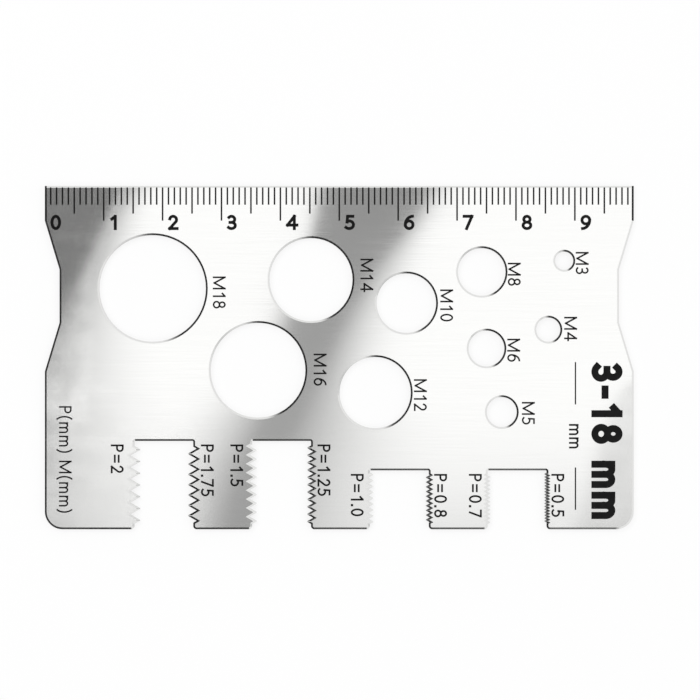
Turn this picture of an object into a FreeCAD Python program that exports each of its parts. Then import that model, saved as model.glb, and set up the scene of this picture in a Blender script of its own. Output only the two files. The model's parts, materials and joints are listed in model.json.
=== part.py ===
"""Thread checker gauge: one flat steel plate with size holes, toothed pitch slots and a ruled edge.

The plate lies on its back. X runs along the scale, Y across the plate towards the scale,
and Z up out of the marked face. The origin is the middle of the back face.
The outline, the slots and the lines are placed from the left end and the slotted edge,
and the bolt size holes from the plate's middle. All sizes are in mm.
"""

import FreeCAD, Part

import math
import os
from collections import namedtuple

# Plate
plate_length = 100.0
plate_width = 58.3
plate_thickness = 1.2
end_corner_radius = 3.0
bevel_width = 0.32  # on the marked face: outline, hole rims and along the teeth
bevel_height = 0.2
back_edge_break = 0.1

# Grip notches, one in each end of the plate
notch_depth = 2.5
notch_flat = 9.0
notch_ramp = 8.3
notch_below_scale_edge = 5.9

# Bolt size holes: the thread diameter, and the hole's centre from the plate's middle
bolt_clearance = 0.1  # on the diameter
BoltHole = namedtuple("BoltHole", "thread x y")
bolt_holes = [
    BoltHole(18.0, -31.7, 11.75),
    BoltHole(16.0, -13.8, -2.15),
    BoltHole(14.0, -4.8, 13.25),
    BoltHole(12.0, 6.1, -5.95),
    BoltHole(10.0, 11.4, 9.25),
    BoltHole(8.0, 24.2, 14.55),
    BoltHole(6.0, 25.0, 1.55),
    BoltHole(5.0, 27.6, -9.25),
    BoltHole(4.0, 35.5, 4.75),
    BoltHole(3.0, 38.2, 16.45),
]

# Pitch slots, open at the slotted edge, with one toothed wall for each pitch
slot_width = 10.0  # between the plain stretches of its two walls
slot_spacing = 20.0
slots_right_of_middle = 0.2  # from the plate's middle to the middle of the row of slots
long_slot_depth = 15.0
short_slot_depth = 10.0
slot_inner_radius = 0.15
mouth_radius_at_face = 0.25  # the bevel widens it to the radius of the wall
tooth_angle = 60.0
crest_flat_share = 1.0 / 16.0  # of the pitch
teeth_proud = 0.2  # how far the teeth's middle line stands into the slot from the plain wall
land_at_mouth = 1.0  # about how much plain wall comes before the first tooth
land_at_slot_end = 0.15  # and at least how much between the last tooth and the slot's inner radius

CREST, ROOT = "crest", "root"
Comb = namedtuple("Comb", "pitch first")
PitchSlot = namedtuple("PitchSlot", "depth left right")
pitch_slots = [
    PitchSlot(long_slot_depth, Comb(2.0, CREST), Comb(1.75, ROOT)),
    PitchSlot(long_slot_depth, Comb(1.5, CREST), Comb(1.25, CREST)),
    PitchSlot(short_slot_depth, Comb(1.0, CREST), Comb(0.8, ROOT)),
    PitchSlot(short_slot_depth, Comb(0.7, CREST), Comb(0.5, ROOT)),
]

# Scale along the edge opposite the slots: shallow grooves, each filled level with black enamel
scale_line_spacing = 1.0
lines_per_half_centimetre = 5
lines_per_centimetre = 10
line_width = 0.23
line_depth = 0.05
millimetre_line_length = 3.2
half_centimetre_line_length = 4.7
centimetre_line_length = 5.9

# Two upright divider lines between the last slot and the right end, filled like the scale
divider_past_last_slot = 4.9
divider_length = 7.2
lower_divider_from_slotted_edge = 3.3
divider_gap = 10.7

# How far a cutting shape runs past the face that it opens
overrun = 1.0

# Keeps the scale's last line when the length divided by the spacing falls a hair short
counting_margin = 1e-6

Corner = namedtuple("Corner", "x y kind size")
SHARP, ROUND, TOPPED = "sharp", "round", "topped"


def sharp(x, y):
    """A corner of the outline that is left sharp."""
    return Corner(x, y, SHARP, 0.0)


def rounded(x, y, radius):
    """A corner of the outline that is rounded to a radius."""
    return Corner(x, y, ROUND, radius)


def topped(x, y, flat):
    """The point that a tooth's two flanks run to, cut back to a narrow flat."""
    return Corner(x, y, TOPPED, flat / (2 * math.sin(math.radians(tooth_angle / 2))))


def comb_corners(comb, wall_x, facing, depth):
    """Corners of one toothed wall from the mouth inwards, its teeth pointing along X by facing, +1 or -1.

    Crests and roots leave the teeth's middle line alike. The two outermost flanks run on to the plain wall.
    """
    half_pitch = comb.pitch / 2
    rise_per_reach = math.tan(math.radians(tooth_angle / 2))
    reach = half_pitch / 2 / rise_per_reach
    middle_x = wall_x + facing * teeth_proud
    toothed = depth - land_at_mouth - land_at_slot_end - slot_inner_radius
    teeth = []
    for half in range(math.floor(toothed / half_pitch)):
        y = land_at_mouth + (half + 0.5) * half_pitch
        if (half % 2 == 0) == (comb.first == CREST):
            teeth.append(topped(middle_x + facing * reach, y, comb.pitch * crest_flat_share))
        else:
            teeth.append(sharp(middle_x - facing * reach, y))
    start_y = teeth[0].y - abs(teeth[0].x - wall_x) * rise_per_reach
    end_y = teeth[-1].y + abs(teeth[-1].x - wall_x) * rise_per_reach
    return [sharp(wall_x, start_y)] + teeth + [sharp(wall_x, end_y)]


def slot_middles():
    """How far each slot's middle line is from the left end, the row spread evenly about its own middle."""
    row_middle = plate_length / 2 + slots_right_of_middle
    first = row_middle - slot_spacing * (len(pitch_slots) - 1) / 2
    return [first + place * slot_spacing for place in range(len(pitch_slots))]


def slot_corners(slot, middle_x):
    """Corners of one pitch slot, up its left wall and down its right one."""
    left_x = middle_x - slot_width / 2
    right_x = middle_x + slot_width / 2
    mouth_radius = mouth_radius_at_face + bevel_width
    return (
        [rounded(left_x, 0.0, mouth_radius)]
        + comb_corners(slot.left, left_x, 1, slot.depth)
        + [rounded(left_x, slot.depth, slot_inner_radius)]
        + [rounded(right_x, slot.depth, slot_inner_radius)]
        + comb_corners(slot.right, right_x, -1, slot.depth)[::-1]
        + [rounded(right_x, 0.0, mouth_radius)]
    )


def notch_corners(end_x, inwards):
    """Corners of the grip notch in one end, from the slotted edge's side up to the scale's side."""
    top = plate_width - notch_below_scale_edge
    bottom_of_flat = top - notch_ramp - notch_flat
    floor_x = end_x + inwards * notch_depth
    return [
        sharp(end_x, bottom_of_flat - notch_ramp),
        sharp(floor_x, bottom_of_flat),
        sharp(floor_x, top - notch_ramp),
        sharp(end_x, top),
    ]


def plate_corners():
    """Every corner of the plate's outline, anticlockwise from the bottom left."""
    corners = [rounded(0.0, 0.0, end_corner_radius)]
    for slot, middle_x in zip(pitch_slots, slot_middles()):
        corners += slot_corners(slot, middle_x)
    corners.append(rounded(plate_length, 0.0, end_corner_radius))
    corners += notch_corners(plate_length, -1)
    corners += [sharp(plate_length, plate_width), sharp(0.0, plate_width)]
    corners += notch_corners(0.0, 1)[::-1]
    return corners


def on_plate(x, y, z):
    """A point given from the left end and the slotted edge, in the part's own frame."""
    return FreeCAD.Vector(x - plate_length / 2, y - plate_width / 2, z)


def direction(start, end):
    """The unit vector from one corner to the next."""
    return FreeCAD.Vector(end.x - start.x, end.y - start.y, 0).normalize()


def corner_stops(before, here, after, inset, z):
    """One corner of the outline moved into the plate by inset: its points, and its arc or None.

    Both edges at the corner move by inset along their own normals, so the corner moves along the mitre.
    """
    arriving = direction(before, here)
    leaving = direction(here, after)
    arriving_normal = FreeCAD.Vector(-arriving.y, arriving.x, 0)
    leaving_normal = FreeCAD.Vector(-leaving.y, leaving.x, 0)
    mitre = (arriving_normal + leaving_normal) / (1 + arriving_normal.dot(leaving_normal))
    point = on_plate(here.x, here.y, z)
    if here.kind == SHARP:
        return [point + mitre * inset], None
    if here.kind == TOPPED:
        moved = point + mitre * inset
        return [moved - arriving * here.size, moved + leaving * here.size], None
    outside_corner = arriving.cross(leaving).z > 0
    radius = here.size if outside_corner else -here.size
    centre = point + mitre * radius
    start = centre - arriving_normal * (radius - inset)
    middle = centre - (arriving_normal + leaving_normal).normalize() * (radius - inset)
    end = centre - leaving_normal * (radius - inset)
    return [start, end], Part.Arc(start, middle, end).toShape()


def outline(inset, z):
    """The plate's outline at height z, moved into the plate by inset, as a ring of edges."""
    corners = plate_corners()
    stops = []
    for place, here in enumerate(corners):
        after = corners[(place + 1) % len(corners)]
        stops.append(corner_stops(corners[place - 1], here, after, inset, z))
    edges = []
    for place, (points, arc) in enumerate(stops):
        if arc:
            edges.append(arc)
        elif len(points) == 2:
            edges.append(Part.LineSegment(points[0], points[1]).toShape())
        next_start = stops[(place + 1) % len(stops)][0][0]
        edges.append(Part.LineSegment(points[-1], next_start).toShape())
    return edges


def side_face(low, high):
    """The face between an edge of one outline and the same edge of the outline above it."""
    low_start, low_end = [vertex.Point for vertex in low.Vertexes]
    high_start, high_end = [vertex.Point for vertex in high.Vertexes]
    ring = Part.makePolygon([low_start, low_end, high_end, high_start, low_start])
    if isinstance(low.Curve, Part.Line) and ring.findPlane():
        return Part.Face(ring)
    return Part.makeLoft([Part.Wire(low), Part.Wire(high)], False, True).Faces[0]


def make_blank():
    """The plate with its slots and notches, bevelled in front and broken behind, without holes."""
    levels = [
        outline(back_edge_break, 0.0),
        outline(0.0, back_edge_break),
        outline(0.0, plate_thickness - bevel_height),
        outline(bevel_width, plate_thickness),
    ]
    faces = [Part.Face(Part.Wire(levels[0])), Part.Face(Part.Wire(levels[-1]))]
    for lower, upper in zip(levels, levels[1:]):
        faces += [side_face(low, high) for low, high in zip(lower, upper)]
    shell = Part.makeShell(faces)
    shell.sewShape()
    return Part.makeSolid(shell)


def hole_cutter(hole):
    """What a bolt hole takes out: its wall, and the cones of its two rims run on past the faces."""
    radius = (hole.thread + bolt_clearance) / 2
    rim_run_on = overrun * bevel_width / bevel_height
    half_section = [
        (0.0, -overrun),
        (radius + back_edge_break + overrun, -overrun),
        (radius, back_edge_break),
        (radius, plate_thickness - bevel_height),
        (radius + bevel_width + rim_run_on, plate_thickness + overrun),
        (0.0, plate_thickness + overrun),
    ]
    points = [FreeCAD.Vector(across, 0, up) for across, up in half_section]
    face = Part.Face(Part.makePolygon(points + points[:1]))
    cutter = face.revolve(FreeCAD.Vector(0, 0, 0), FreeCAD.Vector(0, 0, 1), 360)
    cutter.translate(FreeCAD.Vector(hole.x, hole.y, 0.0))
    return cutter


def line_groove(middle_x, low_y, high_y):
    """The straight groove of one upright line, from line_depth below the marked face to above it."""
    corner = on_plate(middle_x - line_width / 2, low_y, plate_thickness - line_depth)
    return Part.makeBox(line_width, high_y - low_y, line_depth + overrun, corner)


def end_line_groove(end_x, inwards, length):
    """The groove of the first or last line of the scale, which takes the bevel of the plate's end."""
    outer_x = end_x - inwards * overrun
    inner_x = end_x + inwards * bevel_width
    floor_z = plate_thickness - bevel_height - line_depth
    corner = on_plate(min(outer_x, inner_x), plate_width - length, floor_z)
    return Part.makeBox(bevel_width + overrun, length + overrun, line_depth + bevel_height + overrun, corner)


def scale_grooves():
    """Grooves of the scale, from the left end to the right one, by the kind of line."""
    grooves = {"millimetre_lines": [], "half_centimetre_lines": [], "centimetre_lines": []}
    spacings = math.floor(plate_length / scale_line_spacing + counting_margin)
    for line in range(spacings + 1):
        if line % lines_per_centimetre == 0:
            kind, length = "centimetre_lines", centimetre_line_length
        elif line % lines_per_half_centimetre == 0:
            kind, length = "half_centimetre_lines", half_centimetre_line_length
        else:
            kind, length = "millimetre_lines", millimetre_line_length
        x = line * scale_line_spacing
        if line == 0:
            grooves[kind].append(end_line_groove(0.0, 1, length))
        elif plate_length - x < bevel_width:
            grooves[kind].append(end_line_groove(plate_length, -1, length))
        else:
            grooves[kind].append(line_groove(x, plate_width - length, plate_width + overrun))
    return grooves


def divider_grooves():
    """Grooves of the two upright divider lines, one above the other."""
    x = slot_middles()[-1] + slot_width / 2 + divider_past_last_slot
    lower = lower_divider_from_slotted_edge
    upper = lower + divider_length + divider_gap
    return [line_groove(x, low_y, low_y + divider_length) for low_y in (lower, upper)]


def save(name, shape):
    """Write one named piece."""
    shape.exportStep(os.path.join("parts", name + ".step"))
    print(name, "solids:", len(shape.Solids), "volume:", round(shape.Volume, 4), "valid:", shape.isValid())


def main():
    os.makedirs("parts", exist_ok=True)
    plate = make_blank()
    plate = plate.cut([hole_cutter(hole) for hole in bolt_holes])
    grooves = scale_grooves()
    grooves["divider_lines"] = divider_grooves()
    for name, cutters in grooves.items():
        save(name, plate.common(Part.makeCompound(cutters)))
    every_groove = [cutter for cutters in grooves.values() for cutter in cutters]
    save("gauge_plate", plate.cut(every_groove).Solids[0])


main()
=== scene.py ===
"""Looks of a thread checker gauge: its polished plate, filled lines, black marks, studio and camera.

Sizes are in millimetres unless a name says otherwise, and meshes are made in metres. X runs along the
scale, Y across the plate towards the scale, and Z out of the marked face, as in the frame.
"""

import json
import logging
import math
from collections.abc import Mapping, Sequence
from dataclasses import dataclass
from enum import Enum
from functools import cache, reduce
from typing import Any

import bmesh
import bpy
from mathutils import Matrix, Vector
from mathutils.geometry import delaunay_2d_cdt


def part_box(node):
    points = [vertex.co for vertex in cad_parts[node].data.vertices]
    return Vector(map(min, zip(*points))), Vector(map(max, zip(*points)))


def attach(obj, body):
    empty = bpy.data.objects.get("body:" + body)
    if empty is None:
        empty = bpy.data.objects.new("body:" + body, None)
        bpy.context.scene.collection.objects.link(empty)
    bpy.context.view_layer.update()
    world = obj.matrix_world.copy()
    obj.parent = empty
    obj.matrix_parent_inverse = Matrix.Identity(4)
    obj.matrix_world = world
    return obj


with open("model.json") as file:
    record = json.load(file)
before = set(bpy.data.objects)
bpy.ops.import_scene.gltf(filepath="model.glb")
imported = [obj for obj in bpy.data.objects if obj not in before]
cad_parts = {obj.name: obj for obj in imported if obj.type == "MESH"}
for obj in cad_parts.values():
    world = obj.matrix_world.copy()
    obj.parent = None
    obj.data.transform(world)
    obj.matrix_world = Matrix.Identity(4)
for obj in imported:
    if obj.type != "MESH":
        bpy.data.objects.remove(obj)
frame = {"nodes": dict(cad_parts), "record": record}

LOG = logging.getLogger("gauge")
MM = 0.001
MICROMETRE = 0.000001
ROOT = "root"

Colour = tuple[float, float, float]
Lengths = tuple[float, float, float]
Point = tuple[float, float]
WHITE: Colour = (1.0, 1.0, 1.0)
NOISE_MIDDLE = 0.5
# A flag has a soft side, a full middle and another soft side.
FLAG_BANDS = 3
# Points of a stroke that are nearer to each other than this are one point.
SAME_POINT = 0.0001
# Points of a flat shape that are nearer to each other than this are joined.
SHAPE_WELD = 0.00001


class Signal:
    """A number that varies over a surface, so that shader maths reads as ordinary arithmetic."""

    def __init__(self, tree: bpy.types.NodeTree, socket: bpy.types.NodeSocket) -> None:
        """Wrap one output socket.

        Args:
            tree: The node tree that the socket is in.
            socket: The output that carries the number.
        """
        self.tree = tree
        self.socket = socket

    def maths(self, operation: str, *operands: "Signal | float") -> "Signal":
        """Put one Math node on the operands, in the order given.

        Args:
            operation: The Math node's operation.
            operands: Signals or plain numbers, one for each of its inputs.

        Returns:
            The node's result.
        """
        node = self.tree.nodes.new("ShaderNodeMath")
        node.operation = operation
        for socket, operand in zip(node.inputs, operands):
            feed(self.tree, socket, operand)
        return Signal(self.tree, node.outputs[0])

    def __add__(self, other: "Signal | float") -> "Signal":
        """Return self + other."""
        return self.maths("ADD", self, other)

    def __radd__(self, other: float) -> "Signal":
        """Return other + self."""
        return self.maths("ADD", other, self)

    def __sub__(self, other: "Signal | float") -> "Signal":
        """Return self - other."""
        return self.maths("SUBTRACT", self, other)

    def __rsub__(self, other: float) -> "Signal":
        """Return other - self."""
        return self.maths("SUBTRACT", other, self)

    def __mul__(self, other: "Signal | float") -> "Signal":
        """Return self * other."""
        return self.maths("MULTIPLY", self, other)

    def __truediv__(self, other: "Signal | float") -> "Signal":
        """Return self / other."""
        return self.maths("DIVIDE", self, other)

    def __abs__(self) -> "Signal":
        """Return the size of self without its sign."""
        return self.maths("ABSOLUTE", self)

    def root(self) -> "Signal":
        """Return the square root of self."""
        return self.maths("SQRT", self)

    def or_more(self, other: "Signal | float") -> "Signal":
        """Return the larger of self and other."""
        return self.maths("MAXIMUM", self, other)

    def or_less(self, other: "Signal | float") -> "Signal":
        """Return the smaller of self and other."""
        return self.maths("MINIMUM", self, other)


Feed = float | Colour | Signal | bpy.types.NodeSocket


def feed(tree: bpy.types.NodeTree, socket: bpy.types.NodeSocket, value: Feed) -> None:
    """Link a value to a socket, or set it there when it is plain.

    Args:
        tree: The node tree that the socket is in.
        socket: The input to feed.
        value: A signal, an output socket, a number, a colour or a vector.
    """
    if isinstance(value, Signal):
        tree.links.new(value.socket, socket)
    elif isinstance(value, bpy.types.NodeSocket):
        tree.links.new(value, socket)
    elif socket.type == "RGBA":
        socket.default_value = (*value, 1.0)
    else:
        socket.default_value = value


class ShaderTree:
    """Adds nodes to the tree of one material, or of the world."""

    def __init__(self, owner: bpy.types.Material | bpy.types.World) -> None:
        """Start with an empty tree.

        Args:
            owner: The material or world whose tree this is.
        """
        owner.use_nodes = True
        self.tree = owner.node_tree
        self.tree.nodes.clear()

    def node(
        self,
        kind: str,
        settings: Mapping[str, Any] | None = None,
        inputs: Mapping[str | int, Feed] | None = None,
    ) -> bpy.types.Node:
        """Add one node, set it up, and then feed its sockets.

        Args:
            kind: The node's type.
            settings: Its own properties.
            inputs: The value or link of each socket that isn't left at its default.

        Returns:
            The new node.
        """
        node = self.tree.nodes.new(kind)
        for name, value in (settings or {}).items():
            setattr(node, name, value)
        for name, value in (inputs or {}).items():
            feed(self.tree, node.inputs[name], value)
        return node

    def read(self, node: bpy.types.Node, output: str | int = 0) -> Signal:
        """Return one output of a node as a signal."""
        return Signal(self.tree, node.outputs[output])

    def millimetres(self) -> bpy.types.NodeSocket:
        """Return the place on the object, in millimetres."""
        place = self.node("ShaderNodeTexCoord").outputs["Object"]
        sockets = {0: place, "Scale": 1 / MM}
        return self.node("ShaderNodeVectorMath", {"operation": "SCALE"}, sockets).outputs[0]

    def parts(self, vector: bpy.types.NodeSocket) -> tuple[Signal, Signal, Signal]:
        """Return a vector's X, Y and Z."""
        node = self.node("ShaderNodeSeparateXYZ", inputs={0: vector})
        return self.read(node, "X"), self.read(node, "Y"), self.read(node, "Z")

    def step(self, value: Signal, low: float, high: float) -> Signal:
        """Return a smooth step of a signal.

        Args:
            value: The signal.
            low: Where the step begins, with the result at 0.
            high: Where it ends, with the result at 1. It may be below low.

        Returns:
            The stepped signal.
        """
        sockets = {"Value": value, "From Min": low, "From Max": high}
        return self.read(self.node("ShaderNodeMapRange", {"interpolation_type": "SMOOTHSTEP"}, sockets))

    def noise(self, place: bpy.types.NodeSocket, size: Lengths, detail: float, turn: float = 0.0) -> Signal:
        """Return noise whose features have a given size.

        Args:
            place: The place on the object, in millimetres.
            size: Length of a feature along X, Y and Z, in millimetres.
            detail: How many finer layers lie on the first one.
            turn: How far the pattern is turned in the plate's plane, in degrees.

        Returns:
            The noise, mostly between 0.3 and 0.7.
        """
        turned = self.node(
            "ShaderNodeVectorRotate",
            {"rotation_type": "Z_AXIS"},
            {"Vector": place, "Angle": math.radians(turn)},
        )
        scale = tuple(1 / length for length in size)
        scaled = self.node(
            "ShaderNodeVectorMath", {"operation": "MULTIPLY"}, {0: turned.outputs[0], 1: scale}
        )
        sockets = {"Vector": scaled.outputs[0], "Scale": 1.0, "Detail": detail}
        return self.read(self.node("ShaderNodeTexNoise", {"noise_dimensions": "3D"}, sockets))

    def mixed(self, share: Signal, first: Feed, second: Feed) -> bpy.types.NodeSocket:
        """Return a colour between two others.

        Args:
            share: How much of the second colour there is.
            first: The colour at a share of 0.
            second: The colour at a share of 1.

        Returns:
            The mixed colour.
        """
        return self.node("ShaderNodeMix", {"data_type": "RGBA"}, {0: share, 6: first, 7: second}).outputs[2]

    def bumped(self, height: Signal) -> bpy.types.NodeSocket:
        """Return the normal of a surface with bumps, their height in micrometres."""
        sockets = {"Strength": 1.0, "Distance": MICROMETRE, "Height": height}
        return self.node("ShaderNodeBump", inputs=sockets).outputs[0]

    def blended(self, share: Feed, first: bpy.types.Node, second: bpy.types.Node) -> bpy.types.Node:
        """Return a Mix Shader between two shaders."""
        sockets = {0: share, 1: first.outputs[0], 2: second.outputs[0]}
        return self.node("ShaderNodeMixShader", inputs=sockets)

    def end(self, shader: bpy.types.Node) -> None:
        """Make a shader the surface of the material."""
        self.node("ShaderNodeOutputMaterial", inputs={"Surface": shader.outputs[0]})


@dataclass(frozen=True)
class Pattern:
    """Noise that is stretched to run from 0 to 1.

    Size, detail and turn are those of the noise. Low and high are the levels of it that become 0 and 1.
    """

    size: Lengths
    detail: float = 3.0
    turn: float = 0.0
    low: float = 0.3
    high: float = 0.7

    def over(self, shader: ShaderTree, place: bpy.types.NodeSocket) -> Signal:
        """Lay the pattern over a surface.

        Args:
            shader: The tree to add to.
            place: The place on the object, in millimetres.

        Returns:
            The pattern's level.
        """
        return shader.step(shader.noise(place, self.size, self.detail, self.turn), self.low, self.high)


@dataclass(frozen=True)
class PolishedSteel:
    """Stainless sheet: polished faces with a fine lengthwise grain, and cut walls with upright striations.

    Lengths are in millimetres and heights in micrometres. The steel is polished where its normal's Z is over
    face_above, which takes in the bevels, and cut where it is under wall_below.
    """

    name: str = "polished_steel"
    face_colour: Colour = (0.80, 0.80, 0.79)
    grain_colour: Colour = (0.76, 0.76, 0.75)
    wall_colour: Colour = (0.58, 0.58, 0.57)
    stria_colour: Colour = (0.46, 0.46, 0.45)
    face_above: float = 0.55
    wall_below: float = 0.25
    face_roughness: float = 0.10
    wall_roughness: float = 0.34
    grain: Pattern = Pattern((9.0, 0.09, 0.09))
    grain_tint: float = 0.5
    grain_roughness: float = 0.05
    grain_height: float = 0.03
    smudge: Pattern = Pattern((17.0, 11.0, 11.0), turn=25.0, low=0.35)
    smudge_roughness: float = 0.025
    scratched_part: Pattern = Pattern((17.0, 11.0, 11.0), detail=2.0, turn=64.0, low=0.52, high=0.68)
    scratch_size: Lengths = (14.0, 1.3, 1.3)
    scratch_turns: tuple[float, ...] = (8.0, -31.0, 64.0)
    scratch_half_width: float = 0.004
    scratch_tint: float = 0.5
    scratch_depth: float = 0.14
    stria: Pattern = Pattern((0.07, 0.07, 1.6))
    stria_height: float = 3.0

    def scratches(self, shader: ShaderTree, place: bpy.types.NodeSocket) -> Signal:
        """Make sparse hairlines, where long noise crosses its own middle value.

        Args:
            shader: The tree to add to.
            place: The place on the object, in millimetres.

        Returns:
            A signal of 1 in a hairline and 0 beside it.
        """
        hairlines = []
        for turn in self.scratch_turns:
            distance = abs(shader.noise(place, self.scratch_size, detail=0.0, turn=turn) - NOISE_MIDDLE)
            hairlines.append(shader.step(distance, self.scratch_half_width, 0.0))
        return reduce(Signal.or_more, hairlines) * self.scratched_part.over(shader, place)

    def material(self) -> bpy.types.Material:
        """Return the finish as a material."""
        material = bpy.data.materials.new(self.name)
        shader = ShaderTree(material)
        place = shader.millimetres()
        facing = shader.parts(shader.node("ShaderNodeNewGeometry").outputs["Normal"])[2]
        wall = shader.step(abs(facing), self.face_above, self.wall_below)
        grain = self.grain.over(shader, place)
        smudge = self.smudge.over(shader, place)
        scratch = self.scratches(shader, place) * (1 - wall)
        stria = self.stria.over(shader, place)
        tint = grain * self.grain_tint + scratch * self.scratch_tint
        face = shader.mixed(tint, self.face_colour, self.grain_colour)
        cut = shader.mixed(stria, self.wall_colour, self.stria_colour)
        roughness = self.face_roughness + grain * self.grain_roughness + smudge * self.smudge_roughness
        height = grain * (1 - wall) * self.grain_height - scratch * self.scratch_depth
        sockets = {
            "Base Color": shader.mixed(wall, face, cut),
            "Metallic": 1.0,
            "Roughness": roughness * (1 - wall) + wall * self.wall_roughness,
            "Normal": shader.bumped(height + stria * wall * self.stria_height),
        }
        shader.end(shader.node("ShaderNodeBsdfPrincipled", inputs=sockets))
        return material


@dataclass(frozen=True)
class BlackFinish:
    """A dull black that is cured in a groove or marked on the face, with a fine mottle.

    Lengths are in millimetres and heights in micrometres.
    """

    name: str
    dark: Colour = (0.003, 0.003, 0.003)
    worn: Colour = (0.009, 0.009, 0.009)
    roughness: float = 0.42
    shine: float = 0.1
    mottle: Pattern = Pattern((0.11, 0.11, 0.11))
    mottle_tint: float = 0.5
    mottle_roughness: float = 0.22
    mottle_height: float = 1.5
    patch: Pattern = Pattern((1.4, 1.4, 1.4), detail=2.0, low=0.35)
    patch_tint: float = 0.5

    def material(self) -> bpy.types.Material:
        """Return the finish as a material."""
        material = bpy.data.materials.new(self.name)
        shader = ShaderTree(material)
        place = shader.millimetres()
        mottle = self.mottle.over(shader, place)
        tint = mottle * self.mottle_tint + self.patch.over(shader, place) * self.patch_tint
        sockets = {
            "Base Color": shader.mixed(tint, self.dark, self.worn),
            "Roughness": self.roughness + mottle * self.mottle_roughness,
            "Specular IOR Level": self.shine,
            "Normal": shader.bumped(mottle * self.mottle_height),
        }
        shader.end(shader.node("ShaderNodeBsdfPrincipled", inputs=sockets))
        return material


@dataclass(frozen=True)
class PaleFloor:
    """Matt white paper, shown nearly white to the eye and to reflections, with the shadows kept."""

    name: str = "pale_floor"
    colour: Colour = (0.86, 0.86, 0.86)
    shade: Colour = (0.84, 0.84, 0.84)
    roughness: float = 0.85
    mottle_size: Lengths = (40.0, 40.0, 40.0)
    mottle_detail: float = 2.0
    glow: float = 0.8

    def material(self) -> bpy.types.Material:
        """Return the finish as a material."""
        material = bpy.data.materials.new(self.name)
        shader = ShaderTree(material)
        mottle = shader.noise(shader.millimetres(), self.mottle_size, self.mottle_detail)
        sockets = {"Base Color": shader.mixed(mottle, self.colour, self.shade), "Roughness": self.roughness}
        lit = shader.node("ShaderNodeBsdfPrincipled", inputs=sockets)
        glow = shader.node("ShaderNodeEmission", inputs={"Color": WHITE, "Strength": 1.0})
        shader.end(shader.blended(seen_directly(shader) * self.glow, lit, glow))
        return material


@dataclass(frozen=True)
class FlagCloth:
    """Black scrim of a studio flag, thin at both its sides, that hides a share of the sky behind it.

    The share runs evenly from the flag's first end to its last one. The last part of its length, end_fade
    of the whole, fades out.
    """

    name: str
    hides_at_start: float
    hides_at_end: float
    end_fade: float = 0.0
    colour: Colour = (0.01, 0.01, 0.01)

    def material(self) -> bpy.types.Material:
        """Return the finish as a material."""
        material = bpy.data.materials.new(self.name)
        shader = ShaderTree(material)
        across, along, _ = shader.parts(shader.node("ShaderNodeTexCoord").outputs["UV"])
        from_side = across.or_less(FLAG_BANDS - across).or_less(1.0)
        share = self.hides_at_start + along * (self.hides_at_end - self.hides_at_start)
        hidden = from_side * from_side * share
        if self.end_fade:
            hidden = hidden * shader.step(along, 1.0, 1.0 - self.end_fade)
        clear = shader.node("ShaderNodeBsdfTransparent", inputs={"Color": WHITE})
        cloth = shader.node("ShaderNodeBsdfDiffuse", inputs={"Color": self.colour})
        shader.end(shader.blended(hidden, clear, cloth))
        return material


def seen_directly(shader: ShaderTree) -> Signal:
    """Return 1 for what the camera, a reflection or a clear material shows, and 0 for scattered light."""
    path = shader.node("ShaderNodeLightPath")
    camera, glossy = shader.read(path, "Is Camera Ray"), shader.read(path, "Is Glossy Ray")
    return camera.or_more(glossy).or_more(shader.read(path, "Is Transmission Ray"))


@dataclass(frozen=True)
class Bend:
    """An elliptical stretch of a stroke, in shares of the capital height, with its angles in degrees."""

    x: float
    y: float
    half_width: float
    half_height: float
    start: float
    end: float

    def points(self, degrees_per_point: float = 12.0) -> list[Point]:
        """Return points along the stretch, from its start to its end."""
        count = max(2, round(abs(self.end - self.start) / degrees_per_point) + 1)
        found = []
        for place in range(count):
            angle = math.radians(self.start + (self.end - self.start) * place / (count - 1))
            x = self.x + self.half_width * math.cos(angle)
            y = self.y + self.half_height * math.sin(angle)
            found.append((x, y))
        return found


Stroke = tuple[Point | Bend, ...]


def stroke_points(stroke: Stroke) -> list[Point]:
    """Return the points along a stroke, in shares of the capital height."""
    return [point for item in stroke for point in (item.points() if isinstance(item, Bend) else [item])]


@dataclass(frozen=True)
class Glyph:
    """One character as the middle lines of its strokes, in shares of the capital height.

    Before and after are the room that it needs at its sides besides the usual gap.
    """

    width: float
    strokes: tuple[Stroke, ...]
    before: float = 0.0
    after: float = 0.0


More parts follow.
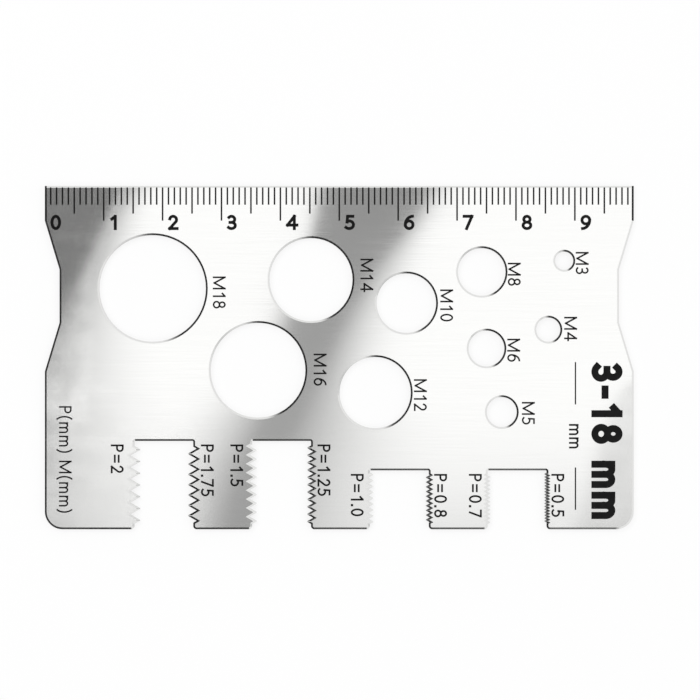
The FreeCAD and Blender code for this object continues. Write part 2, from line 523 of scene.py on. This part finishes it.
GLYPHS: dict[str, Glyph] = {
    "0": Glyph(0.54, ((Bend(0.27, 0.5, 0.27, 0.5, 0, 360),),)),
    "1": Glyph(0.28, (((0.28, 0.0), (0.28, 1.0)), ((0.04, 0.78), (0.225, 0.95))), before=0.04, after=0.12),
    "2": Glyph(0.50, ((Bend(0.24, 0.72, 0.24, 0.28, 165, -32), (0.0, 0.0), (0.52, 0.0)),)),
    "3": Glyph(
        0.47,
        (
            (Bend(0.20, 0.75, 0.23, 0.25, 140, -90), (0.10, 0.5)),
            ((0.10, 0.5), Bend(0.20, 0.25, 0.27, 0.25, 90, -140)),
        ),
    ),
    "4": Glyph(0.66, (((0.48, 0.0), (0.48, 1.0), (0.0, 0.28), (0.66, 0.28)),)),
    "5": Glyph(0.50, (((0.45, 1.0), (0.08, 1.0), (0.05, 0.54), Bend(0.19, 0.31, 0.31, 0.31, 115, -135)),)),
    "6": Glyph(0.54, ((Bend(0.27, 0.31, 0.27, 0.31, 0, 360),), (Bend(0.52, 0.31, 0.52, 0.69, 180, 92),))),
    "7": Glyph(0.54, (((0.0, 1.0), (0.54, 1.0), (0.17, 0.0)),)),
    "8": Glyph(0.54, ((Bend(0.27, 0.76, 0.22, 0.24, 0, 360),), (Bend(0.27, 0.26, 0.27, 0.26, 0, 360),))),
    "9": Glyph(0.54, ((Bend(0.27, 0.69, 0.27, 0.31, 0, 360),), (Bend(0.02, 0.69, 0.52, 0.69, 0, -88),))),
    "M": Glyph(1.0, (((0.0, 0.0), (0.0, 1.0), (0.5, 0.06), (1.0, 1.0), (1.0, 0.0)),)),
    "P": Glyph(
        0.51,
        (((0.0, 0.0), (0.0, 1.0), (0.26, 1.0), Bend(0.26, 0.74, 0.25, 0.26, 90, -90), (0.0, 0.48)),),
    ),
    "m": Glyph(
        0.84,
        (
            ((0.0, 0.0), (0.0, 0.70)),
            (Bend(0.21, 0.45, 0.21, 0.25, 180, 0), (0.42, 0.0)),
            (Bend(0.63, 0.45, 0.21, 0.25, 180, 0), (0.84, 0.0)),
        ),
    ),
    "=": Glyph(0.56, (((0.0, 0.63), (0.56, 0.63)), ((0.0, 0.28), (0.56, 0.28))), before=0.05, after=0.07),
    "-": Glyph(0.26, (((0.0, 0.42), (0.26, 0.42)),)),
    ".": Glyph(0.04, (((0.0, 0.0), (0.04, 0.0)), ((0.0, 0.05), (0.04, 0.05)))),
    "(": Glyph(0.20, ((Bend(0.56, 0.42, 0.56, 0.85, 130, 230),),)),
    ")": Glyph(0.20, ((Bend(-0.36, 0.42, 0.56, 0.85, 50, -50),),)),
    " ": Glyph(0.10, ()),
}


class Reading(Enum):
    """Which way a mark reads, as the direction of its line of text and the direction of its tops."""

    ACROSS = ((1.0, 0.0), (0.0, 1.0))
    DOWN = ((0.0, -1.0), (1.0, 0.0))


@dataclass(frozen=True)
class Lettering:
    """How a mark's characters are drawn: their height and stroke over the ink, and the gap between them.

    Widening stretches them along the line. A stroke is parted where it turns by over sharp_turn degrees.
    """

    height: float
    stroke: float
    gap: float
    widening: float = 1.0
    sharp_turn: float = 30.0

    @property
    def rise(self) -> float:
        """Height between the middle lines of a capital's lowest and highest stroke."""
        return self.height - self.stroke

    def length(self, text: str) -> float:
        """Return how long a text is over its ink."""
        return self.strokes(text)[1]

    def strokes(self, text: str) -> tuple[list[list[Vector]], float]:
        """Lay a text out along X from 0, with the ink of its capitals from 0 up.

        Args:
            text: The characters, each of them in GLYPHS.

        Returns:
            The middle lines of all strokes, and how long the text is over its ink.
        """
        half_stroke = Vector((self.stroke, self.stroke)) / 2
        found: list[list[Vector]] = []
        pen = 0.0
        for character in text:
            glyph = GLYPHS[character]
            pen += glyph.before * self.rise
            for stroke in glyph.strokes:
                line: list[Vector] = []
                for x, y in stroke_points(stroke):
                    place = Vector((pen + x * self.rise * self.widening, y * self.rise)) + half_stroke
                    if not line or (place - line[-1]).length > SAME_POINT:
                        line.append(place)
                found.append(line)
            pen += (glyph.width * self.widening + glyph.after) * self.rise + self.stroke + self.gap
        return found, pen - self.gap

    def runs(self, line: Sequence[Vector]) -> list[tuple[list[Vector], float, float]]:
        """Part a stroke at its sharp turns.

        Args:
            line: The stroke's middle line.

        Returns:
            The points of each run, and how far its start and end go on so that the runs fill their corner.
        """
        found = []
        run = [line[0]]
        start_reach = self.stroke / 2
        for before, here, after in zip(line, line[1:], line[2:]):
            run.append(here)
            turn = (here - before).angle(after - here)
            if math.degrees(turn) > self.sharp_turn:
                reach = min(math.tan(turn / 2), 1.0) * self.stroke / 2
                found.append((run, start_reach, reach))
                run = [here]
                start_reach = reach
        run.append(line[-1])
        found.append((run, start_reach, self.stroke / 2))
        return found

    def ribbon(
        self, run: Sequence[Vector], start_reach: float, end_reach: float
    ) -> list[tuple[Vector, Vector]]:
        """Widen a run to the stroke's width.

        Args:
            run: The middle line, closed if its ends meet.
            start_reach: How far the run goes on before its first point.
            end_reach: How far it goes on past its last one.

        Returns:
            The point on the right and the point on the left of each point of the run.
        """
        closed = (run[0] - run[-1]).length < SAME_POINT
        last = len(run) - 1
        pairs = []
        for place, here in enumerate(run):
            before = run[place - 1] if place else run[-2]
            after = run[place + 1] if place < last else run[1]
            arriving, leaving = (here - before).normalized(), (after - here).normalized()
            if place == 0 and not closed:
                arriving = leaving
                here = here - leaving * start_reach
            elif place == last and not closed:
                leaving = arriving
                here = here + arriving * end_reach
            sum_of_normals = Vector((-arriving.y - leaving.y, arriving.x + leaving.x))
            side = sum_of_normals / (1 + arriving.dot(leaving)) * self.stroke / 2
            pairs.append((here - side, here + side))
        return pairs


def add_object(name: str, data: bpy.types.ID) -> bpy.types.Object:
    """Add an object that shows a mesh, a lamp or a camera to the scene, and return it."""
    added = bpy.data.objects.new(name, data)
    bpy.context.scene.collection.objects.link(added)
    return added


@cache
def face_height() -> float:
    """Return the height of the marked face, in metres."""
    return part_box("gauge_plate")[1].z


@dataclass(frozen=True)
class Film:
    """A thin black film on the plate's face, closed all round, whose foot lies just in the steel.

    Points and edges are left out where the shape turns by less than flat_turn degrees.
    """

    name: str
    proud: float = 0.015
    sunk: float = 0.005
    flat_turn: float = 0.5

    def build(
        self, points: Sequence[Vector], outlines: Sequence[Sequence[int]], material: bpy.types.Material
    ) -> None:
        """Make the film as a piece that rides on the plate.

        Args:
            points: The corners of its flat shape, in millimetres.
            outlines: The corners of each of the shape's faces.
            material: Its finish.
        """
        mesh = bpy.data.meshes.new(self.name)
        film = bmesh.new()
        foot = face_height() - self.sunk * MM
        verts = [film.verts.new((point.x * MM, point.y * MM, foot)) for point in points]
        for outline in outlines:
            film.faces.new([verts[corner] for corner in outline])
        loose = [vert for vert in verts if not vert.link_faces]
        bmesh.ops.delete(film, geom=loose, context="VERTS")
        flat = math.radians(self.flat_turn)
        bmesh.ops.dissolve_limit(film, angle_limit=flat, verts=film.verts[:], edges=film.edges[:])
        raised = bmesh.ops.extrude_face_region(film, geom=film.faces[:])
        lifted = [item for item in raised["geom"] if isinstance(item, bmesh.types.BMVert)]
        bmesh.ops.translate(film, verts=lifted, vec=(0.0, 0.0, (self.proud + self.sunk) * MM))
        bmesh.ops.recalc_face_normals(film, faces=film.faces[:])
        film.to_mesh(mesh)
        film.free()
        mesh.materials.append(material)
        piece = add_object(self.name, mesh)
        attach(piece, ROOT)
        LOG.info("%s: %d faces", self.name, len(mesh.polygons))


@dataclass(frozen=True)
class Mark:
    """One black mark of lettering on the plate's face."""

    name: str
    text: str
    lettering: Lettering
    x: float
    y: float
    reading: Reading

    def placed(self, point: Vector) -> Vector:
        """Return a point of the laid-out text at its place on the plate, in millimetres."""
        along, up = (Vector(direction) for direction in self.reading.value)
        return Vector((self.x, self.y)) + along * point.x + up * point.y

    def triangles(self) -> tuple[list[Vector], list[list[int]]]:
        """Join all strokes of the text into one flat shape without overlaps.

        Returns:
            The shape's points in millimetres, and its triangles.
        """
        points: list[Vector] = []
        quads: list[list[int]] = []
        for line in self.lettering.strokes(self.text)[0]:
            for run, start_reach, end_reach in self.lettering.runs(line):
                first = len(points)
                pairs = self.lettering.ribbon(run, start_reach, end_reach)
                points += [self.placed(side) for pair in pairs for side in pair]
                for step in range(first, first + 2 * (len(pairs) - 1), 2):
                    quads.append([step, step + 2, step + 3, step + 1])
        verts, _, faces, _, _, sources = delaunay_2d_cdt(points, [], quads, 0, SHAPE_WELD, True)
        return verts, [face for face, source in zip(faces, sources) if source]

    def build(self, material: bpy.types.Material) -> None:
        """Make the mark as a film of the given finish."""
        points, triangles = self.triangles()
        Film(self.name).build(points, triangles, material)


def dress_node(name: str, material: bpy.types.Material) -> None:
    """Give a node of the frame its finish.

    Args:
        name: The node's name.
        material: The finish, which takes all its material slots.
    """
    node = frame["nodes"][name]
    node.data.materials.clear()
    node.data.materials.append(material)
    LOG.info("%s: dressed in %s", name, material.name)


@dataclass(frozen=True)
class GaugePlate:
    """The steel plate, which is a node of the frame."""

    finish: PolishedSteel = PolishedSteel()

    def build(self) -> None:
        """Dress the plate."""
        dress_node("gauge_plate", self.finish.material())


@dataclass(frozen=True)
class FilledLines:
    """The lines of the scale and the two dividers, which are nodes of the frame.

    The scale's enamel laps a little over the long edges of each line. Points of a node's mesh that are
    nearer to each other than weld are one point.
    """

    scale_nodes: tuple[str, ...] = ("millimetre_lines", "half_centimetre_lines", "centimetre_lines")
    divider_node: str = "divider_lines"
    finish: BlackFinish = BlackFinish("line_enamel")
    lap: float = 0.022
    lap_proud: float = 0.008
    weld: float = 0.001

    def build(self) -> None:
        """Dress the lines, and lay the enamel that laps over the edges of the scale's."""
        material = self.finish.material()
        dress_node(self.divider_node, material)
        for name in self.scale_nodes:
            dress_node(name, material)
            corners, outlines = self.laps(frame["nodes"][name].data)
            Film(f"{name}_lap", proud=self.lap_proud).build(corners, outlines, material)

    def laps(self, mesh: bpy.types.Mesh) -> tuple[list[Vector], list[list[int]]]:
        """Outline the top of each line of a node, widened by the lap.

        Args:
            mesh: The node's mesh, which stays as it is.

        Returns:
            The corners in millimetres, and the corners of each line's outline.
        """
        lines = bmesh.new()
        lines.from_mesh(mesh)
        bmesh.ops.remove_doubles(lines, verts=lines.verts[:], dist=self.weld * MM)
        top_height = face_height() - self.weld * MM
        corners: list[Vector] = []
        outlines: list[list[int]] = []
        seen: set[bmesh.types.BMVert] = set()
        for first in lines.verts:
            top = [vert.co / MM for vert in joined_to(first, seen) if vert.co.z > top_height]
            if not top:
                continue
            left = min(co.x for co in top) - self.lap
            right = max(co.x for co in top) + self.lap
            low, high = min(co.y for co in top), max(co.y for co in top)
            outline = ((left, low), (right, low), (right, high), (left, high))
            start = len(corners)
            corners += [Vector(corner) for corner in outline]
            outlines.append(list(range(start, len(corners))))
        lines.free()
        return corners, outlines


def joined_to(first: bmesh.types.BMVert, seen: set[bmesh.types.BMVert]) -> list[bmesh.types.BMVert]:
    """Gather the points that edges join to a point, itself included.

    Args:
        first: The point to start from.
        seen: The points gathered so far, to which the new ones are added.

    Returns:
        The new points, or none if the first has been gathered before.
    """
    if first in seen:
        return []
    seen.add(first)
    found = [first]
    for vert in found:
        for edge in vert.link_edges:
            other = edge.other_vert(vert)
            if other not in seen:
                seen.add(other)
                found.append(other)
    return found


@dataclass(frozen=True)
class ScaleDigits:
    """The bold digits below the centimetre lines, counted from nought."""

    lettering: Lettering = Lettering(height=2.6, stroke=0.52, gap=0.4, widening=1.16)
    count: int = 10
    spacing: float = 10.0
    past_line: float = 0.95
    below_edge: float = 7.5

    def build(self, material: bpy.types.Material) -> None:
        """Make the digits.

        Args:
            material: Their finish.
        """
        low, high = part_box("gauge_plate")
        for digit in range(self.count):
            x = low.x / MM + digit * self.spacing + self.past_line
            y = high.y / MM - self.below_edge
            Mark(f"scale_digit_{digit}", str(digit), self.lettering, x, y, Reading.ACROSS).build(material)


@dataclass(frozen=True)
class SizeLabel:
    """Where a hole's size stands: right of the hole's rim, its middle above the hole's centre or below."""

    size: int
    past_rim: float
    above_centre: float


@dataclass(frozen=True)
class SizeMarks:
    """The thread size beside each bolt size hole, read downwards."""

    lettering: Lettering
    labels: tuple[SizeLabel, ...] = (
        SizeLabel(18, 1.17, -0.7),
        SizeLabel(16, 1.39, 0.1),
        SizeLabel(14, 1.33, 0.7),
        SizeLabel(12, 0.52, -0.4),
        SizeLabel(10, 0.68, -0.4),
        SizeLabel(8, 0.36, -0.4),
        SizeLabel(6, 0.46, -0.3),
        SizeLabel(5, 0.85, -0.2),
        SizeLabel(4, 0.63, 0.1),
        SizeLabel(3, 0.39, -0.4),
    )

    def build(self, material: bpy.types.Material) -> None:
        """Make the marks, each placed from its hole in the frame.

        Args:
            material: Their finish.
        """
        holes = {mount["name"]: mount for mount in frame["record"]["mounts"] if mount["kind"] == "bore"}
        for label in self.labels:
            hole = holes[f"hole_{label.size}"]
            text = f"M{label.size}"
            x = hole["pos_m"][0] / MM + hole["dims"]["r_mm"] + label.past_rim
            y = hole["pos_m"][1] / MM + label.above_centre + self.lettering.length(text) / 2
            Mark(f"size_mark_{label.size}", text, self.lettering, x, y, Reading.DOWN).build(material)


@dataclass(frozen=True)
class PitchLabel:
    """A thread pitch, and where the foot of its mark stands along X."""

    pitch: str
    x: float
    beside_long_slot: bool


@dataclass(frozen=True)
class PitchMarks:
    """The thread pitch beside each toothed wall, read downwards.

    The marks start at one height above the slotted edge beside the long slots, and at another beside the
    short ones.
    """

    lettering: Lettering
    long_start: float = 14.4
    short_start: float = 9.4
    labels: tuple[PitchLabel, ...] = (
        PitchLabel("2", -38.8, True),
        PitchLabel("1.75", -23.5, True),
        PitchLabel("1.5", -18.5, True),
        PitchLabel("1.25", -3.7, True),
        PitchLabel("1.0", 1.95, False),
        PitchLabel("0.8", 16.1, False),
        PitchLabel("0.7", 22.0, False),
        PitchLabel("0.5", 36.0, False),
    )

    def build(self, material: bpy.types.Material) -> None:
        """Make the marks.

        Args:
            material: Their finish.
        """
        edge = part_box("gauge_plate")[0].y / MM
        for label in self.labels:
            y = edge + (self.long_start if label.beside_long_slot else self.short_start)
            name = "pitch_mark_" + label.pitch.replace(".", "p")
            Mark(name, f"P={label.pitch}", self.lettering, label.x, y, Reading.DOWN).build(material)


@dataclass(frozen=True)
class EndMark:
    """One line of text at an end of the plate, read downwards: its foot along X, and its middle along Y."""

    name: str
    text: str
    lettering: Lettering
    x: float
    middle_y: float

    def build(self, material: bpy.types.Material) -> None:
        """Make the mark.

        Args:
            material: Its finish.
        """
        top = self.middle_y + self.lettering.length(self.text) / 2
        Mark(self.name, self.text, self.lettering, self.x, top, Reading.DOWN).build(material)


@dataclass(frozen=True)
class PhotoCamera:
    """A long lens that looks straight down on the marked face.

    View_width is the width that it shows there, and x and y are the place under it.
    """

    view_width: float = 118.85
    above_face: float = 1000.0
    x: float = 1.82
    y: float = 1.29
    sensor: float = 36.0

    def build(self) -> None:
        """Add the camera and make it the scene's."""
        lens = bpy.data.cameras.new("photo_camera")
        lens.sensor_width = self.sensor
        lens.lens = self.sensor * self.above_face / self.view_width
        camera = add_object("photo_camera", lens)
        camera.location = (self.x * MM, self.y * MM, face_height() + self.above_face * MM)
        bpy.context.scene.camera = camera

    def card_point(self, point: Point, height: float) -> Vector:
        """Find where a card has to be to show at a place on the plate.

        Args:
            point: Where it shows, in millimetres.
            height: How high the card is above the marked face, in millimetres.

        Returns:
            The point on the card, in metres.
        """
        spread = 1 + height / self.above_face
        x = self.x + (point[0] - self.x) * spread
        y = self.y + (point[1] - self.y) * spread
        return Vector((x * MM, y * MM, face_height() + height * MM))


def curve_through(points: Sequence[Point], count: int) -> list[Point]:
    """Run a smooth curve through a few points.

    Args:
        points: The points, in order.
        count: How many points the curve gets.

    Returns:
        Points on the curve, from the first point to the last.
    """
    before_first = Vector(points[0]) * 2 - Vector(points[1])
    past_last = Vector(points[-1]) * 2 - Vector(points[-2])
    stops = [before_first, *(Vector(point) for point in points), past_last]
    found = []
    for place in range(count):
        whole = place / (count - 1) * (len(points) - 1)
        first = min(int(whole), len(points) - 2)
        t = whole - first
        before, start, end, after = stops[first : first + 4]
        curve = start * 2 + (end - before) * t
        curve += (before * 2 - start * 5 + end * 4 - after) * t**2
        curve += (start * 3 - before - end * 3 + after) * t**3
        found.append(tuple(curve / 2))
    return found


@dataclass(frozen=True)
class StudioFlag:
    """A scrim over the plate that only reflections show.

    Its four edges are given where they show on the plate, all from the same end: the outer edge of its first
    soft side, the two edges of its full middle, and the outer edge of its last soft side.
    """

    cloth: FlagCloth
    edges: tuple[tuple[Point, ...], ...]
    height: float = 30.0
    rows: int = 60
    columns_per_band: int = 6

    def build(self, camera: PhotoCamera) -> None:
        """Add the card.

        Args:
            camera: The camera that it shows to.
        """
        mesh = bpy.data.meshes.new(self.cloth.name)
        columns = FLAG_BANDS * self.columns_per_band + 1
        points, spots = [], []
        for row, stops in enumerate(zip(*(curve_through(edge, self.rows) for edge in self.edges))):
            for column in range(columns):
                band = min(column // self.columns_per_band, FLAG_BANDS - 1)
                across = column / self.columns_per_band
                shown = Vector(stops[band]).lerp(Vector(stops[band + 1]), across - band)
                points.append(camera.card_point(tuple(shown), self.height))
                spots.append((across, row / (self.rows - 1)))
        quads = []
        for row in range(self.rows - 1):
            for column in range(columns - 1):
                corner = row * columns + column
                quads.append((corner, corner + 1, corner + columns + 1, corner + columns))
        mesh.from_pydata(points, [], quads)
        layer = mesh.uv_layers.new(name="across_and_along")
        for loop in mesh.loops:
            layer.data[loop.index].uv = spots[loop.vertex_index]
        mesh.materials.append(self.cloth.material())
        card = add_object(self.cloth.name, mesh)
        card.visible_camera = False
        card.visible_diffuse = False
        card.visible_shadow = False


@dataclass(frozen=True)
class StudioSky:
    """Soft surroundings: bright overhead and to the right, with a dark band low on the left.

    Only the plate's bevels show the band, in a view from above. Heights are sines of the elevation. The band
    lies round the azimuth dark_towards, in degrees. Dark_from and dark_full are cosines of the angle to it.
    """

    overhead: float = 1.245
    bright_side: float = 0.96
    dark_side: float = 0.02
    dark_towards: float = 195.0
    dark_from: float = -0.06
    dark_full: float = 0.3
    band_foot: float = 0.18
    band_full: float = 0.3
    band_top: float = 0.53
    sky_from: float = 0.68
    never_nought: float = 0.000001

    def build(self) -> None:
        """Set the world up."""
        world = bpy.data.worlds.new("studio_sky")
        bpy.context.scene.world = world
        shader = ShaderTree(world)
        x, y, z = shader.parts(shader.node("ShaderNodeTexCoord").outputs["Generated"])
        turn = math.radians(self.dark_towards)
        from_zenith = (x * x + y * y + self.never_nought).root()
        towards = (x * math.cos(turn) + y * math.sin(turn)) / from_zenith
        dark = shader.step(towards, self.dark_from, self.dark_full)
        dark = dark * shader.step(z, self.band_foot, self.band_full)
        level = self.bright_side + dark * (self.dark_side - self.bright_side)
        high = shader.step(z, self.band_top, self.sky_from)
        level = level + high * (self.overhead - level)
        level = level + seen_by_camera(shader) * (1 - level)
        grey = shader.node("ShaderNodeCombineXYZ", inputs={0: level, 1: level, 2: level}).outputs[0]
        sky = shader.node("ShaderNodeBackground", inputs={"Color": grey, "Strength": 1.0})
        shader.node("ShaderNodeOutputWorld", inputs={"Surface": sky.outputs[0]})


def seen_by_camera(shader: ShaderTree) -> Signal:
    """Return 1 for what the camera sees without a reflection, and 0 for all else."""
    return shader.read(shader.node("ShaderNodeLightPath"), "Is Camera Ray")


@dataclass(frozen=True)
class Studio:
    """The floor, the lamp, the surroundings and the flags that the plate reflects."""

    floor_side: float = 2400.0
    floor_gap: float = 0.02
    floor_finish: PaleFloor = PaleFloor()
    sky: StudioSky = StudioSky()
    lamp_size: float = 500.0
    lamp_place: Lengths = (-300.0, 350.0, 850.0)
    lamp_watts: float = 1.6
    flags: tuple[StudioFlag, ...] = (
        StudioFlag(
            FlagCloth("corner_flag", hides_at_start=0.72, hides_at_end=0.72, end_fade=0.3),
            (
                ((-66.0, 40.0), (-66.0, 23.0), (-66.0, 12.7), (-66.0, 4.7), (-66.0, -12.0)),
                ((-64.0, 40.0), (-64.0, 23.0), (-64.0, 12.7), (-64.0, 4.7), (-64.0, -12.0)),
                ((-33.0, 40.0), (-40.0, 23.0), (-45.1, 12.7), (-50.3, 4.7), (-57.5, -8.0)),
                ((-31.6, 40.0), (-38.6, 23.0), (-42.2, 12.7), (-41.6, 4.7), (-43.0, -12.0)),
            ),
        ),
        StudioFlag(
            FlagCloth("corner_skirt", hides_at_start=0.55, hides_at_end=0.55),
            (
                ((-68.0, 34.0), (-68.0, 22.0), (-68.0, 8.0), (-68.0, -4.0), (-68.0, -16.0), (-68.0, -36.0)),
                ((-66.0, 34.0), (-66.0, 22.0), (-66.0, 8.0), (-66.0, -4.0), (-66.0, -16.0), (-66.0, -36.0)),
                ((-32.0, 34.0), (-39.2, 22.0), (-44.6, 8.0), (-48.6, -4.0), (-51.5, -16.0), (-56.0, -36.0)),
                ((-29.0, 34.0), (-32.2, 22.0), (-31.4, 8.0), (-28.8, -4.0), (-23.0, -16.0), (-21.0, -36.0)),
            ),
        ),
        StudioFlag(
            FlagCloth("middle_flag", hides_at_start=0.745, hides_at_end=0.605),
            (
                (
                    *((-3.8, 34.0), (-5.2, 25.0), (-8.5, 16.0), (-14.5, 6.0)),
                    *((-22.0, -4.0), (-31.5, -13.0), (-35.5, -22.0), (-35.0, -34.0)),
                ),
                (
                    *((-2.0, 34.0), (-3.4, 25.0), (-5.0, 16.0), (-8.0, 6.0)),
                    *((-10.6, -4.0), (-13.8, -13.0), (-17.4, -22.0), (-20.0, -34.0)),
                ),
                (
                    *((16.5, 34.0), (13.4, 25.0), (6.3, 16.0), (0.3, 6.0)),
                    *((-4.0, -4.0), (-8.4, -13.0), (-12.4, -22.0), (-16.0, -34.0)),
                ),
                (
                    *((24.0, 34.0), (17.4, 25.0), (14.6, 16.0), (11.6, 6.0)),
                    *((11.6, -4.0), (19.0, -13.0), (16.8, -22.0), (8.0, -34.0)),
                ),
            ),
            height=42.0,
        ),
        StudioFlag(
            FlagCloth("lower_flag", hides_at_start=0.24, hides_at_end=0.24),
            (
                ((-72.0, -4.0), (0.0, -4.0), (72.0, -4.0)),
                ((-72.0, -32.0), (0.0, -32.0), (72.0, -32.0)),
                ((-72.0, -40.0), (0.0, -40.0), (72.0, -40.0)),
                ((-72.0, -60.0), (0.0, -60.0), (72.0, -60.0)),
            ),
        ),
        StudioFlag(
            FlagCloth("right_flag", hides_at_start=0.27, hides_at_end=0.27),
            (
                ((58.0, -2.6), (48.7, -3.6), (42.6, -12.0), (39.0, -23.0), (34.0, -34.0)),
                ((58.0, -4.0), (48.9, -5.6), (45.6, -15.0), (43.0, -25.0), (40.0, -34.0)),
                ((70.0, -6.0), (70.0, -12.0), (70.0, -18.0), (70.0, -25.0), (70.0, -34.0)),
                ((72.0, -6.0), (72.0, -12.0), (72.0, -18.0), (72.0, -25.0), (72.0, -34.0)),
            ),
        ),
    )

    def build(self, camera: PhotoCamera) -> None:
        """Add everything round the object.

        Args:
            camera: The camera that the flags show to.
        """
        self.add_floor()
        self.add_lamp()
        self.sky.build()
        for flag in self.flags:
            flag.build(camera)

    def add_floor(self) -> None:
        """Lay the floor just under the plate's back."""
        half = self.floor_side * MM / 2
        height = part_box("gauge_plate")[0].z - self.floor_gap * MM
        mesh = bpy.data.meshes.new("studio_floor")
        corners = [(x, y, height) for x, y in ((-half, -half), (half, -half), (half, half), (-half, half))]
        mesh.from_pydata(corners, [], [(0, 1, 2, 3)])
        mesh.materials.append(self.floor_finish.material())
        floor = add_object("studio_floor", mesh)

    def add_lamp(self) -> None:
        """Hang the soft lamp, which lights the floor and the marks and doesn't show in the steel."""
        light = bpy.data.lights.new("soft_lamp", "AREA")
        light.size = self.lamp_size * MM
        light.energy = self.lamp_watts
        lamp = add_object("soft_lamp", light)
        lamp.location = Vector(self.lamp_place) * MM
        lamp.rotation_euler = (-lamp.location).to_track_quat("-Z", "Y").to_euler()
        lamp.visible_glossy = False


def main() -> None:
    """Build every sub-assembly in order."""
    logging.basicConfig(level=logging.INFO, format="%(message)s")
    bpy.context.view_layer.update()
    bpy.context.scene.view_settings.view_transform = "Standard"
    bold = Lettering(height=5.3, stroke=1.2, gap=0.62)
    firm = Lettering(height=2.2, stroke=0.32, gap=0.36)
    light = Lettering(height=2.2, stroke=0.285, gap=0.4)
    lightest = Lettering(height=2.15, stroke=0.27, gap=0.43)
    mark_black = BlackFinish("mark_black").material()
    GaugePlate().build()
    FilledLines().build()
    ScaleDigits().build(mark_black)
    SizeMarks(light).build(mark_black)
    PitchMarks(firm).build(mark_black)
    EndMark("range_mark", "3-18 mm", bold, x=42.8, middle_y=-14.2).build(mark_black)
    EndMark("unit_mark", "mm", firm, x=39.0, middle_y=-13.35).build(mark_black)
    EndMark("units_legend", "P(mm) M(mm)", lightest, x=-47.6, middle_y=-17.3).build(mark_black)
    camera = PhotoCamera()
    camera.build()
    Studio().build(camera)


if __name__ == "__main__":
    main()
